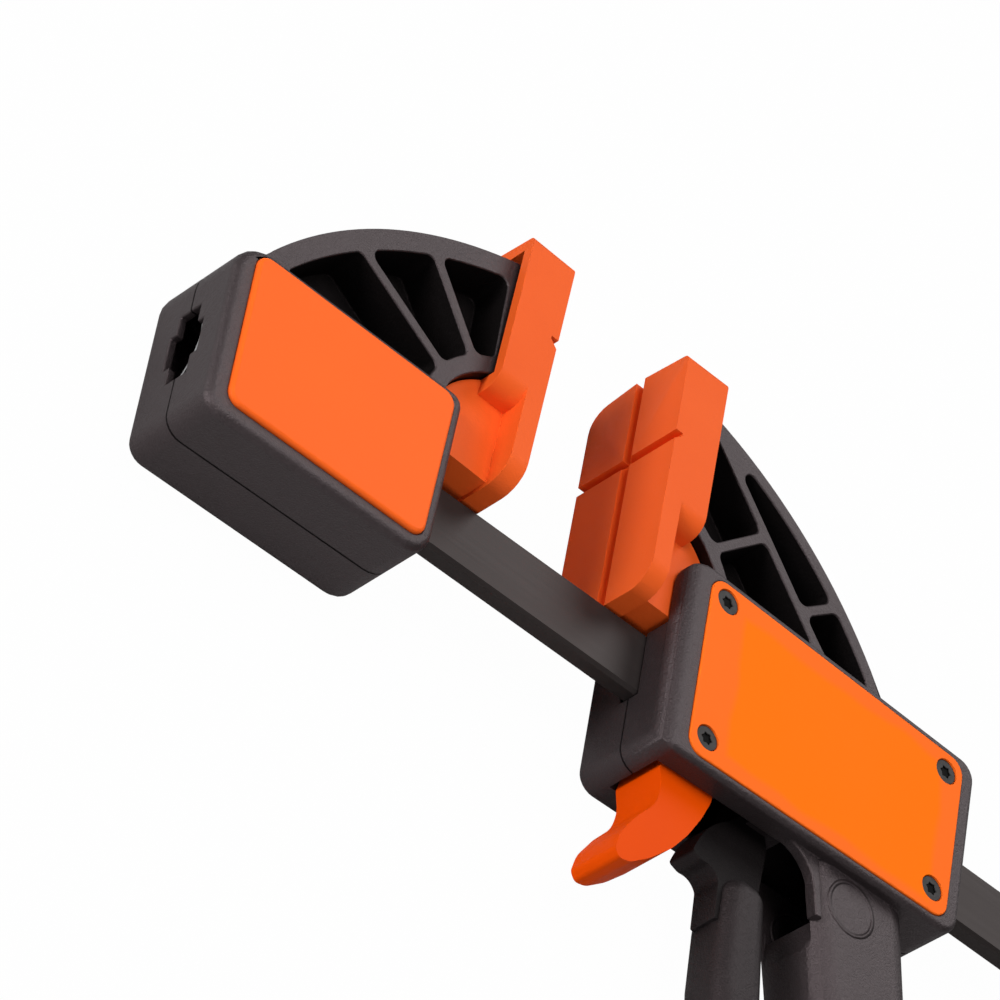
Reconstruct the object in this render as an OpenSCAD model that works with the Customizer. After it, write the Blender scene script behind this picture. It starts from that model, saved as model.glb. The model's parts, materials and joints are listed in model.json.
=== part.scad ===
// Quick release bar clamp: a flat steel bar with a fixed jaw on one end and a
// sliding jaw that is squeezed along it by a lever and held by a tilting brake plate.
// X runs along the bar from the fixed jaw, Y up towards the jaw tips, Z across the clamp.
// The outlines below count X from the end face of the fixed jaw, Y from the middle of
// the bar and Z from the parting plane; at_rest() moves them to the clamp's own frame.

/* [Bar] */
// Length of the bar
bar_len = 422; // [330:2:600]
// Height of the bar, across the jaws
bar_h = 25; // [24:0.5:26]
// Thickness of the bar
bar_t = 7.4; // [6.6:0.2:8]
// Bevel along the long edges of the bar
bar_bevel = 1.2; // [0.6:0.1:1.6]
// Depth of the bar's end inside the fixed jaw
bar_inset = 8; // [6:0.5:10]
// Radius of the cross pins in the bar
stop_pin_r = 2.5; // [2:0.1:2.8]
// Distance from a bar end to its cross pin
stop_pin_edge = 7; // [6:0.5:9]
// Length of a cross pin
stop_pin_len = 13.6; // [12:0.2:14.4]

/* [Jaws] */
// Opening between the pads at rest, at the height where they swivel
opening = 55.3; // [30:0.5:110]
// Height of the pad swivel over the middle of the bar
swivel_y = 22; // [21:0.2:24]
// Distance from the end face of the fixed jaw to its pad face
head_reach = 120; // [118:0.5:126]
// Width of both jaw casings
case_w = 39.2; // [38.4:0.2:41]
// Rounding of the long casing edges
case_round = 3; // [2:0.2:3.6]
// Wall of the casings
wall = 3; // [2.4:0.1:3.4]

/* [Fixed jaw] */
// Length of the fixed jaw's casing
head_len = 93.4; // [92.6:0.2:95]
// Top of the casing over the middle of the bar
head_rise = 36; // [35.4:0.2:37]
// Bottom of the casing under the middle of the bar
head_drop = 35.7; // [34:0.2:37]
// Corner radius at the top of the end face
head_corner = 13; // [11:0.5:14]
// Corner radius at the bottom of the end face
head_low_corner = 7; // [6:0.5:9]
// Corner radius towards the pad, at the top
head_heel = 5; // [4:0.5:6]
// Corner radius towards the pad, at the bottom
head_low_heel = 10.5; // [8:0.5:11]
// How far the end towards the pad leans out at its top
head_lean = 1.2; // [0.6:0.2:1.8]

/* [Inlays] */
// Rim between an inlay and the casing edge
inlay_rim = 3.2; // [3:0.1:3.8]
// Rim at the end face
inlay_back_rim = 7.2; // [6.6:0.2:8]
// Rim towards the pad
inlay_heel_rim = 4.2; // [3.8:0.1:4.8]
// Rim along the bottom
inlay_low_rim = 6.6; // [6:0.2:7.4]
// Depth of the recess for an inlay
inlay_seat = 2.4; // [2:0.1:2.6]
// Height of an inlay over the casing
inlay_proud = 1.5; // [1:0.1:1.8]
// Corner radius of an inlay
inlay_corner = 5; // [4:0.5:6]

/* [Arches] */
// Outer radius of both jaw arches
arch_r = 165; // [163:0.5:167]
// Distance of the arch centre behind the swivel, along the bar
arch_back = 28; // [26:0.5:30]
// Depth of the arch centre under the swivel
arch_down = 78; // [77:0.5:79]
// Width of the arches
arch_w = 35; // [34:0.2:35.4]
// Thickness of the web between the pockets
web = 3; // [2:0.2:4]
// Outer rim of the fixed arch
fixed_rim = 7.6; // [6:0.2:8.4]
// Outer rim of the moving arch
moving_rim = 4.6; // [4:0.2:5.4]
// Width of a rib
rib = 3.8; // [3.4:0.2:4.6]
// Corner radius of the pockets
pocket_corner = 3; // [2:0.2:3.4]
// Radius of the round seat of a pad
hub_r = 35.5; // [35:0.1:36]
// Wall of the round seat under the fixed arch
fixed_hub_wall = 6.4; // [5.6:0.2:6.8]
// Wall of the round seat under the moving arch
moving_hub_wall = 5; // [4.4:0.2:5.6]

/* [Pads] */
// Width of a pad
pad_w = 46.8; // [46:0.2:48]
// Depth of a pad along the bar
pad_depth = 18.4; // [18:0.2:19.4]
// Thickness of the gripping plate
pad_plate = 7.2; // [6.6:0.2:7.8]
// Side wall of the sleeve round the arch tip
pad_wall = 4; // [3.6:0.1:4.4]
// Top of a pad over its swivel
pad_rise = 91.5; // [91:0.5:94]
// Wall over the arch tip
pad_roof = 6; // [5:0.2:7]
// Bottom of the gripping plate under the swivel
pad_foot = 8.7; // [8.2:0.1:9]
// Bottom of the sleeve over the swivel
sleeve_low = 23.4; // [22:0.2:25]
// Radius of the sleeve's lower corners
sleeve_corner = 7; // [6:0.5:8]
// Radius of the plate's lower corners
pad_corner = 10; // [8:0.5:11]
// Width of the round barrel under the sleeve
barrel_w = 26.4; // [25:0.2:27]
// Bottom of the barrel under the swivel
barrel_foot = 7; // [6:0.2:7.4]
// Depth of the grooves in the gripping face
groove_depth = 3; // [2:0.1:3.4]
// Width of the grooves
groove_w = 4; // [3.6:0.1:4.6]
// Height of the cross groove over the swivel
groove_v = 54.4; // [50:0.2:58]
// Lean of the fixed pad, in degrees
fixed_lean = 3; // [2:0.2:3]
// Lean of the moving pad, in degrees
moving_lean = 0.6; // [0:0.1:0.8]

/* [Moving jaw] */
// Distance from the pad face to the front of the casing
body_setback = 17.3; // [16.8:0.1:17.8]
// Length of the casing
body_len = 132.8; // [131:0.2:146]
// Width of the casing
body_w = 40.4; // [39.6:0.2:41.6]
// Rounding of its long edges
body_round = 2.2; // [1.6:0.1:2.6]
// Rounding of its near front edge
front_round = 6.6; // [5:0.2:7.4]
// Half height of the casing at its front
body_half_h = 39.6; // [39:0.2:41]
// How far the casing narrows to its rear, top and bottom
body_taper = 4; // [3:0.2:4.6]
// Corner radius of the casing
body_corner = 7; // [5:0.5:8]
// Corner radius over the pad's seat
body_top_corner = 10; // [8:0.5:11]
// Rim between a side plate and the casing edge
plate_rim = 3; // [2.6:0.1:3.4]
// Rim at the front
plate_front_rim = 10.6; // [10:0.2:12]
// Rim at the rear
plate_rear_rim = 6; // [5:0.5:8]
// Depth of the recess for a side plate
plate_seat = 1.6; // [1.4:0.1:1.8]
// Height of a side plate over the casing
plate_proud = 0.5; // [0.3:0.1:0.8]
// Corner radius of a side plate
plate_corner = 6; // [5:0.5:7]
// Half width of the slot in the casing's underside
slot_half = 11; // [10.9:0.1:11.4]
// Radius of the heads of the plate screws
plate_screw_head_r = 4.4; // [3.8:0.1:4.8]

/* [Handle] */
// Bottom of the handle under the middle of the bar
handle_drop = 138; // [134:1:142]
// Width of the handle
handle_w = 31; // [28:0.5:33]
// Length of the handle at its top, along the bar
handle_len = 46; // [42:0.5:48]
// Length of the handle at its foot, along the bar
handle_foot = 40; // [36:0.5:44]
// Distance from the casing's front to the handle at its top
handle_back = 68.4; // [68:0.2:70]
// How far the handle slants back over its height
handle_slant = 28.6; // [26:0.2:30]
// Rounding of the handle
handle_round = 9; // [7:0.5:10]

/* [Squeeze lever] */
// Distance from the casing's front to the lever pin
lever_pin_back = 57.4; // [57:0.2:58.2]
// Height of the lever pin over the middle of the bar
lever_pin_y = 21; // [20.4:0.1:22]
// Radius of the lever pin
lever_pin_r = 3; // [2.6:0.1:3.2]
// Radius of the lever cheeks round the pin
cheek_r = 6.8; // [6.4:0.1:7]
// Thickness of a cheek
cheek_t = 3.6; // [3:0.1:4]
// Width of the lever's grip
grip_w = 21; // [20:0.5:21.6]
// Rounding of the grip
grip_round = 6.5; // [5.5:0.5:6.5]
// Bottom of the lever under the middle of the bar
lever_drop = 127; // [120:1:130]

/* [Drive] */
// Thickness of a drive plate
drive_plate_t = 3; // [2.4:0.1:3.2]
// Half height of a drive plate
drive_plate_half_h = 19; // [18:0.2:19.4]
// Width of a drive plate
drive_plate_w = 26; // [24:0.5:28]
// Mean radius of the drive spring
drive_spring_r = 14.2; // [14:0.05:14.3]
// Wire radius of the drive spring
drive_wire_r = 0.7; // [0.6:0.05:0.75]
// Turns of the drive spring
drive_turns = 6; // [4:1:8]

/* [Brake] */
// Distance from the casing's front to the brake plate's trunnion
brake_back = 26.4; // [26:0.2:27]
// Height of the trunnion over the middle of the bar
brake_y = 20; // [19.6:0.2:21]
// Radius of the trunnion
trunnion_r = 2.2; // [2:0.1:2.4]
// Thickness of the brake plate
brake_t = 4; // [3.6:0.1:4.2]
// Length of the brake plate under its trunnion
brake_len = 66; // [62:0.5:68]
// Forward tilt of the brake plate, in degrees
brake_tilt = 5; // [4.5:0.1:5.5]
// Mean radius of the brake spring
brake_spring_r = 3.4; // [3:0.1:3.6]
// Wire radius of the brake spring
brake_wire_r = 0.5; // [0.4:0.05:0.6]
// Turns of the brake spring
brake_turns = 5; // [4:1:6]

/* [Release trigger] */
// Distance from the casing's front to the trigger's rear, at the casing's underside
trigger_back = 32; // [31:0.2:32.4]
// Bottom of the trigger under the middle of the bar
trigger_drop = 83.6; // [81:0.2:86]
// Width of the trigger
trigger_w = 20.4; // [19:0.2:20.8]

/* [Hidden] */

$fn = 48;
arc_steps = 6;
hull_facets = 32;
overrun = 2;
run_gap = 0.05;
fit_gap = 0.3;
loose_gap = 0.5;
case_half = case_w / 2;
body_half_w = body_w / 2;
arch_half = arch_w / 2;
pad_half = pad_w / 2;
barrel_half = barrel_w / 2;

// Fixed jaw places
fixed_face_x = head_reach;
hub_clear = 0.8;
seat_half = barrel_half + hub_clear;
barrel_r = hub_r - loose_gap;

// Moving jaw places
moving_face_x = head_reach + opening;
body_x = moving_face_x + body_setback;
body_end_x = body_x + body_len;
lever_pin_x = body_x + lever_pin_back;
brake_x = body_x + brake_back;
handle_x = body_x + handle_back;

// Frame of the whole clamp: centred on its box, lying on the far side of its pads
bar_end_x = bar_inset + bar_len;
top_y = swivel_y + pad_rise * cos(fixed_lean) + pad_depth * sin(fixed_lean);
frame_x = bar_end_x / 2;
frame_y = (top_y - handle_drop) / 2;
frame_z = pad_half;

black = [0.15, 0.14, 0.145];
orange = [0.94, 0.33, 0.1];
plate_orange = [1, 0.45, 0.1];
steel = [0.3, 0.28, 0.28];
bright = [0.62, 0.62, 0.64];

module at_rest() {
    translate([-frame_x, -frame_y, frame_z]) children();
}

// Outline helpers: corners become arcs, convex outlines shrink by a distance
function unit(v) = v / norm(v);
function corner_arc(before, at, after, radius) =
    radius == 0 ? [at] :
    let (
        back = unit(before - at),
        on = unit(after - at),
        half_angle = acos(back * on) / 2,
        reach = radius / tan(half_angle),
        middle = at + unit(back + on) * radius / sin(half_angle),
        first = at + back * reach - middle,
        last = at + on * reach - middle,
        start = atan2(first.y, first.x),
        turn = atan2(last.y, last.x) - start,
        sweep = turn > 180 ? turn - 360 : turn < -180 ? turn + 360 : turn
    )
    [for (i = [0:arc_steps])
        middle + radius * [cos(start + sweep * i / arc_steps), sin(start + sweep * i / arc_steps)]];
function corner_reach(before, at, after, radius) =
    radius / tan(acos(unit(before - at) * unit(after - at)) / 2);
// Two fillets that would meet on the edge between them both shrink to share it
function rounded(points, radii) =
    let (
        count = len(points),
        prior = [for (i = [0:count - 1]) (i + count - 1) % count],
        next = [for (i = [0:count - 1]) (i + 1) % count],
        reaches = [for (i = [0:count - 1])
            corner_reach(points[prior[i]], points[i], points[next[i]], radii[i])],
        room_shares = [for (i = [0:count - 1])
            min(1, norm(points[i] - points[prior[i]]) / (reaches[i] + reaches[prior[i]]),
                norm(points[i] - points[next[i]]) / (reaches[i] + reaches[next[i]]))]
    )
    [for (i = [0:count - 1])
        each corner_arc(points[prior[i]], points[i], points[next[i]], room_shares[i] * radii[i])];
function left_of(from, to) = let (way = unit(to - from)) [-way.y, way.x];
function shrunk(points, distance) =
    let (count = len(points))
    [for (i = [0:count - 1])
        let (
            in_a = left_of(points[(i + count - 1) % count], points[i]),
            in_b = left_of(points[i], points[(i + 1) % count])
        )
        points[i] + (in_a + in_b) * distance / (1 + in_a * in_b)];

// The same outline moved in, its corners rounded the less
function walled(points, radii, distance) =
    rounded(shrunk(points, distance), [for (r = radii) max(r - distance, fit_gap)]);

// Half of a rounded block: an outline from the parting plane out, soft along its far edge
soft_steps = 4;
module soft_half(points, radii, half, soft) {
    insets = concat([0], [for (i = [0:soft_steps]) soft * (1 - cos(90 * i / soft_steps))]);
    heights = concat([0], [for (i = [0:soft_steps]) half - soft + soft * sin(90 * i / soft_steps)]);
    levels = [for (i = [0:len(insets) - 1])
        [for (point = rounded(shrunk(points, insets[i]), [for (r = radii) max(r - insets[i], soft / soft_steps)]))
            [point.x, point.y, heights[i]]]];
    count = len(levels[0]);
    last = len(levels) - 1;
    polyhedron([for (level = levels) each level], concat(
        [[for (k = [0:count - 1]) k]],
        [for (i = [0:last - 1]) for (k = [0:count - 1])
            [i * count + k, (i + 1) * count + k, (i + 1) * count + (k + 1) % count, i * count + (k + 1) % count]],
        [[for (k = [count - 1:-1:0]) last * count + k]]
    ));
}

// A wound wire along +X from the origin, with straight ends: one unbroken tube
ring_sides = 6;
rings_per_turn = 8;
function coil_point(length, radius, wire_r, turns, share) =
    let (lead = 4 * wire_r)
    [lead + (length - 2 * lead) * share, radius * cos(360 * turns * share), radius * sin(360 * turns * share)];
module coil(length, radius, wire_r, turns) {
    count = turns * rings_per_turn;
    lead = 4 * wire_r;
    path = concat(
        [[wire_r, radius, -2 * wire_r], [wire_r, radius, 0]],
        [for (i = [1:count - 1]) coil_point(length, radius, wire_r, turns, i / count)],
        [[length - wire_r, radius, 0], [length - wire_r, radius, 2 * wire_r]]
    );
    last = len(path) - 1;
    rings = [for (i = [0:last])
        let (
            way = unit(path[min(i + 1, last)] - path[max(i - 1, 0)]),
            out = unit([0, path[i].y, path[i].z]),
            side = unit(cross(way, out)),
            top = cross(side, way)
        )
        for (k = [0:ring_sides - 1])
            path[i] + wire_r * (cos(360 * k / ring_sides) * top + sin(360 * k / ring_sides) * side)];
    faces = concat(
        [[for (k = [0:ring_sides - 1]) k]],
        [for (i = [0:last - 1]) for (k = [0:ring_sides - 1])
            let (
                a = i * ring_sides + k,
                b = i * ring_sides + (k + 1) % ring_sides
            )
            each [[a, a + ring_sides, b + ring_sides], [a, b + ring_sides, b]]],
        [[for (k = [ring_sides - 1:-1:0]) last * ring_sides + k]]
    );
    gap = (length - 2 * lead) / turns - 2 * wire_r;
    echo(str("least gap between the turns of a spring: ", gap));
    polyhedron(rings, faces);
}

// Bar: flat steel with bevelled long edges and a hole for a cross pin at each end
function bar_pin_places() = [bar_inset + stop_pin_edge, bar_end_x - stop_pin_edge];
bar_points = [
    [-bar_h / 2, -bar_t / 2 + bar_bevel], [-bar_h / 2 + bar_bevel, -bar_t / 2],
    [bar_h / 2 - bar_bevel, -bar_t / 2], [bar_h / 2, -bar_t / 2 + bar_bevel],
    [bar_h / 2, bar_t / 2 - bar_bevel], [bar_h / 2 - bar_bevel, bar_t / 2],
    [-bar_h / 2 + bar_bevel, bar_t / 2], [-bar_h / 2, bar_t / 2 - bar_bevel]
];
module along_x() {
    multmatrix([[0, 0, 1, 0], [1, 0, 0, 0], [0, 1, 0, 0]]) children();
}
module bar() {
    color(steel) at_rest() difference() {
        translate([bar_inset, 0, 0]) along_x() linear_extrude(bar_len) polygon(bar_points);
        for (x = bar_pin_places())
            translate([x, 0, -bar_t]) cylinder(r = stop_pin_r, h = 2 * bar_t);
    }
}
module bar_stop_pins() {
    color(bright) at_rest() for (x = bar_pin_places())
        translate([x, 0, -stop_pin_len / 2]) cylinder(r = stop_pin_r, h = stop_pin_len);
}
module bar_channel(from, to, gap) {
    translate([from, -bar_h / 2 - gap, -bar_t / 2 - gap])
        cube([to - from, bar_h + 2 * gap, bar_t + 2 * gap]);
}

// Jaw frame: u runs from the pad face into the jaw, v up from the swivel
module fixed_jaw_frame() {
    translate([fixed_face_x, swivel_y, 0]) mirror([1, 0, 0]) children();
}
module moving_jaw_frame() {
    translate([moving_face_x, swivel_y, 0]) children();
}

// Arches
tip_gap = 2.2;
arch_nose = pad_plate + tip_gap;
module arch_field(inset, front, floor_v) {
    intersection() {
        translate([-arch_back, -arch_down]) circle(r = arch_r - inset, $fn = 180);
        translate([front, floor_v]) square([arch_r, arch_r]);
    }
}
module arch_blank(floor_v) {
    difference() {
        linear_extrude(arch_half) arch_field(0, arch_nose, floor_v);
        translate([0, 0, -overrun]) cylinder(r = hub_r, h = arch_half + 2 * overrun, $fn = 96);
    }
}
module spoke(from_u, from_v, angle) {
    translate([from_u, from_v]) rotate(angle) translate([0, -rib / 2]) square([arch_r, rib]);
}
// Pockets of an arch, rounded, as one cut down to the web
module arch_pockets(rim, front, floor_v, hub_wall) {
    translate([0, 0, web / 2]) linear_extrude(arch_half + overrun)
        offset(r = pocket_corner, $fn = hull_facets) offset(delta = -pocket_corner)
            difference() {
                arch_field(rim, front, floor_v);
                circle(r = hub_r + hub_wall, $fn = 96);
                children();
            }
}
fixed_spoke_angles = [30.4, 53.4];
front_rib = 6.8;
module fixed_arch_ribs() {
    for (angle = fixed_spoke_angles) spoke(0, 0, angle);
}
long_rib_u_share = 1.4;
long_rib_v_share = 1.32;
long_rib_fall = 46;
moving_spoke_angle = 43.5;
outer_spoke_u_share = 2.04;
outer_spoke_v_share = 0.86;
outer_spoke_angle = 39;
// The moving arch has a long rib inside its rim, with a cross rib to each side
module long_rib_field(side) {
    translate([long_rib_u_share * hub_r, long_rib_v_share * hub_r]) rotate(-long_rib_fall)
        translate([-arch_r, side - arch_r]) square([2 * arch_r, arch_r]);
}
module moving_arch_ribs() {
    difference() {
        long_rib_field(rib / 2);
        long_rib_field(-rib / 2);
    }
    intersection() {
        spoke(0, 0, moving_spoke_angle);
        long_rib_field(0);
    }
    difference() {
        spoke(outer_spoke_u_share * hub_r, outer_spoke_v_share * hub_r, outer_spoke_angle);
        long_rib_field(0);
    }
}

// Fixed jaw casing
head_points = [
    [0, -head_drop], [head_len - head_lean, -head_drop + head_lean],
    [head_len + head_lean, head_rise - head_lean], [0, head_rise]
];
head_radii = [head_low_corner, head_low_heel, head_heel, head_corner];
inlay_points = [
    [inlay_back_rim, -head_drop + inlay_low_rim],
    [head_len - head_lean - inlay_heel_rim, -head_drop + inlay_low_rim],
    [head_len + head_lean - inlay_heel_rim, head_rise - head_lean - inlay_rim],
    [inlay_back_rim, head_rise - inlay_rim]
];
inlay_radii = [for (i = [0:3]) inlay_corner];
inlay_floor = case_half - inlay_seat;
head_cavity = inlay_floor - wall;
head_guide_t = 5;
head_guide_shares = [0.2, 0.72];
boss_r = 3.6;
screw_r = 1.5;
screw_head_r = 3;
screw_head_h = 1.8;
screw_reach = 9;
head_screw_inset = 6.5;
head_screw_places = [
    [inlay_back_rim + head_screw_inset, -head_drop + inlay_low_rim + head_screw_inset],
    [head_len - inlay_rim - 2 * head_screw_inset, -head_drop + inlay_low_rim + head_screw_inset],
    [head_len - inlay_rim - 3 * head_screw_inset, head_rise - inlay_rim - head_screw_inset],
    [inlay_back_rim + head_screw_inset, head_rise - inlay_rim - head_screw_inset]
];
window_h = 28.4;
window_w = 9.7;
window_mid_h = 13.6;
window_mid_w = 15.8;
module end_window(depth) {
    translate([-overrun, -window_h / 2, -window_w / 2]) cube([depth + overrun, window_h, window_w]);
    translate([-overrun, -window_mid_h / 2, -window_mid_w / 2])
        cube([depth + overrun, window_mid_h, window_mid_w]);
}
module head_half() {
    difference() {
        union() {
            difference() {
                soft_half(head_points, head_radii, case_half, case_round);
                // Hollow inside
                translate([0, 0, -overrun]) linear_extrude(head_cavity + overrun)
                    polygon(walled(head_points, head_radii, wall));
            }
            // Guide walls that carry the bar, screw bosses and the wall round the pad's seat
            for (share = head_guide_shares)
                translate([share * head_len, -head_drop + wall - run_gap, 0])
                    cube([head_guide_t, head_rise + head_drop - 2 * wall, head_cavity + run_gap]);
            for (place = head_screw_places)
                translate([place.x, place.y, 0]) cylinder(r = boss_r, h = head_cavity + run_gap);
            intersection() {
                linear_extrude(head_cavity + run_gap) polygon(walled(head_points, head_radii, wall / 2));
                fixed_jaw_frame() cylinder(r = hub_r + wall, h = case_half, $fn = 96);
            }
            fixed_jaw_frame() difference() {
                arch_blank(head_rise - swivel_y - wall);
                arch_pockets(
                    fixed_rim, arch_nose + front_rib, head_rise - swivel_y - pocket_corner, fixed_hub_wall
                ) fixed_arch_ribs();
            }
        }
        end_window(bar_inset);
        bar_channel(wall, head_len + overrun + head_lean, fit_gap);
        // Round seat of the pad's barrel
        fixed_jaw_frame() intersection() {
            translate([0, 0, -overrun]) cylinder(r = hub_r, h = seat_half + overrun, $fn = 96);
            translate([0, -swivel_y + bar_h / 2, -overrun])
                cube([hub_r + overrun, 2 * hub_r, seat_half + 2 * overrun]);
        }
        translate([0, 0, inlay_floor]) linear_extrude(inlay_seat + overrun)
            polygon(rounded(inlay_points, inlay_radii));
        for (place = head_screw_places) {
            translate([place.x, place.y, -overrun]) cylinder(r = screw_r + run_gap, h = case_w);
            translate([place.x, place.y, inlay_floor - screw_head_h - run_gap])
                cylinder(r = screw_head_r + fit_gap, h = case_half);
        }
    }
}
module fixed_shell_near() {
    color(black) at_rest() head_half();
}
module fixed_shell_far() {
    color(black) at_rest() mirror([0, 0, 1]) head_half();
}
module inlay_half() {
    translate([0, 0, inlay_floor]) soft_half(
        shrunk(inlay_points, run_gap), inlay_radii, inlay_seat + inlay_proud, inlay_proud);
}
module fixed_inlay_near() {
    color(orange) at_rest() inlay_half();
}
module fixed_inlay_far() {
    color(orange) at_rest() mirror([0, 0, 1]) inlay_half();
}
// A screw standing on its tip at the origin, head up, with a star socket
socket_share = 0.54;
socket_waist_share = 0.72;
star_tips = 6;
module star(radius) {
    polygon([for (i = [0:2 * star_tips - 1])
        radius * (i % 2 == 0 ? 1 : socket_waist_share) * [cos(180 * i / star_tips), sin(180 * i / star_tips)]]);
}
module screw(length) {
    difference() {
        union() {
            cylinder(r = screw_r, h = length);
            translate([0, 0, length - screw_head_h]) cylinder(r = screw_head_r, h = screw_head_h);
        }
        translate([0, 0, length - screw_head_h / 2])
            linear_extrude(screw_head_h) star(screw_head_r * socket_share);
    }
}
module fixed_jaw_screws() {
    color(bright) at_rest() for (place = head_screw_places)
        translate([place.x, place.y, -screw_reach]) screw(inlay_floor - run_gap + screw_reach);
}
// Curved steel leaf behind the opening in the end face: its edge locks the bar
leaf_t = 0.8;
leaf_r = 22;
leaf_x = 1.6;
leaf_depth = 5;
leaf_y = 2.45;
leaf_top_z = 6.7;
// Its ends rest against the lower wall and the step of the opening
leaf_from = acos((window_mid_h / 2 - leaf_y) / leaf_r);
leaf_to = acos((-window_h / 2 - leaf_y) / leaf_r);
function leaf_arc(radius, i) =
    let (turn = leaf_from + (leaf_to - leaf_from) * i / arc_steps)
    radius * [cos(turn), sin(turn)];
module lock_leaf() {
    color(bright) at_rest() translate([leaf_x, leaf_y, leaf_top_z - leaf_r]) along_x()
        linear_extrude(leaf_depth) polygon(concat(
            [for (i = [0:arc_steps]) leaf_arc(leaf_r, i)],
            [for (i = [arc_steps:-1:0]) leaf_arc(leaf_r - leaf_t, i)]));
}

// Pads: gripping plate, sleeve round the arch tip and round barrel, as one soft moulding
far_corner = 9;
near_corner = 2.4;
sleeve_cavity_half = pad_half - pad_wall;
near_fall = 1.6;
far_fall = 3.2;
function pad_outline(low, low_corner) = rounded([
    [-pad_half, low], [pad_half, low],
    [pad_half, pad_rise - near_fall], [0, pad_rise], [-pad_half, pad_rise - far_fall]
], [low_corner, low_corner, near_corner, 0, far_corner]);
// Outlines across the clamp are drawn as [z, v] and pushed out along u
module across(from, to) {
    translate([from, 0, 0]) multmatrix([[0, 0, 1, 0], [0, 1, 0, 0], [1, 0, 0, 0]])
        linear_extrude(to - from) children();
}
groove_floor_share = 0.3;
groove_points = [
    [-overrun, -groove_w / 2], [0, -groove_w / 2],
    [groove_depth, (1 - 2 * groove_floor_share) * groove_w / 2],
    [groove_depth, groove_w / 2], [-overrun, groove_w / 2]
];
module pad_body() {
    difference() {
        union() {
            across(0, pad_plate) polygon(pad_outline(-pad_foot, pad_corner));
            across(0, pad_depth) polygon(pad_outline(sleeve_low, sleeve_corner));
            intersection() {
                translate([0, 0, -barrel_half]) cylinder(r = barrel_r, h = barrel_w, $fn = 96);
                translate([pad_plate / 2, -barrel_foot, -pad_half]) cube([hub_r, 2 * hub_r, pad_w]);
            }
        }
        // Room for the arch tip
        difference() {
            translate([pad_plate, 0, -sleeve_cavity_half])
                cube([pad_depth, pad_rise - pad_roof, 2 * sleeve_cavity_half]);
            translate([0, 0, -pad_half]) cylinder(r = barrel_r, h = pad_w, $fn = 96);
        }
        // Grooves that part the gripping face into four fields, narrower at their floor
        translate([0, groove_v, -pad_w]) linear_extrude(2 * pad_w) polygon(groove_points);
        translate([0, -hub_r, 0]) rotate([-90, 0, 0])
            linear_extrude(2 * hub_r + pad_rise) polygon(groove_points);
    }
}
module fixed_pad() {
    color(orange) at_rest() fixed_jaw_frame() rotate([0, 0, fixed_lean]) pad_body();
}
module moving_pad() {
    color(orange) at_rest() moving_jaw_frame() rotate([0, 0, -moving_lean]) pad_body();
}

// Moving jaw casing, handle and side plates
body_points = [
    [body_x, -body_half_h], [body_end_x, -body_half_h + body_taper],
    [body_end_x, body_half_h - body_taper], [body_x, body_half_h]
];
body_radii = [body_corner, body_corner, body_corner, body_top_corner];
plate_points = [
    [body_x + plate_front_rim, -body_half_h + plate_rim + fit_gap],
    [body_end_x - plate_rear_rim, -body_half_h + body_taper + plate_rim],
    [body_end_x - plate_rear_rim, body_half_h - body_taper - plate_rim],
    [body_x + plate_front_rim, body_half_h - plate_rim - fit_gap]
];
plate_radii = [for (i = [0:3]) plate_corner];
plate_floor = body_half_w - plate_seat;
plate_backing = 2;
body_cavity = plate_floor - plate_backing;
handle_top = -body_half_h + body_taper + handle_round;
function handle_shift(y) = handle_slant * (handle_top - y) / (handle_top + handle_drop);
handle_points = [
    [handle_x, handle_top], [handle_x + handle_slant, -handle_drop],
    [handle_x + handle_slant + handle_foot, -handle_drop], [handle_x + handle_len, handle_top]
];
handle_radii = [for (i = [0:3]) handle_round + fit_gap];
plate_screw_inset = 7.4;
plate_screw_lift = 1.6;
plate_screw_low = -body_half_h + plate_rim + plate_screw_inset + plate_screw_lift;
plate_screw_high = body_half_h - plate_rim - plate_screw_inset;
plate_screw_places = [
    [body_x + plate_front_rim + plate_screw_inset, plate_screw_low],
    [body_end_x - plate_rear_rim - plate_screw_inset, plate_screw_low + body_taper],
    [body_end_x - plate_rear_rim - plate_screw_inset, plate_screw_high - body_taper],
    [body_x + plate_front_rim + plate_screw_inset, plate_screw_high]
];
plate_screw_top = plate_floor + plate_seat;
plate_screw_len = plate_seat + plate_backing;
plate_screw_head_h = 0.9;
handle_screw_shares = [0.62, 0.9];
handle_screw_places = [for (share = handle_screw_shares)
    let (y = handle_top - share * (handle_top + handle_drop))
    [handle_x + handle_shift(y) + handle_foot / 2, y]];
handle_half = handle_w / 2;
handle_ceiling = handle_half - handle_round / 2;
handle_screw_top = handle_half - fit_gap;
rear_guide_x = lever_pin_x + cheek_r + loose_gap + 2 * drive_plate_t + 2 * run_gap;
drive_spring_len = 34;
guide_t = 4;
rear_guide_from = rear_guide_x + drive_spring_len + fit_gap;
spring_wall_x = brake_x + 10;
spring_wall_t = 2;
brake_spring_y = -24;
trunnion_reach = 4;
brake_half = 9;
pin_boss_r = 6.4;
slot_gap = 3.8;
lever_pin_half = body_cavity - fit_gap;
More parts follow.
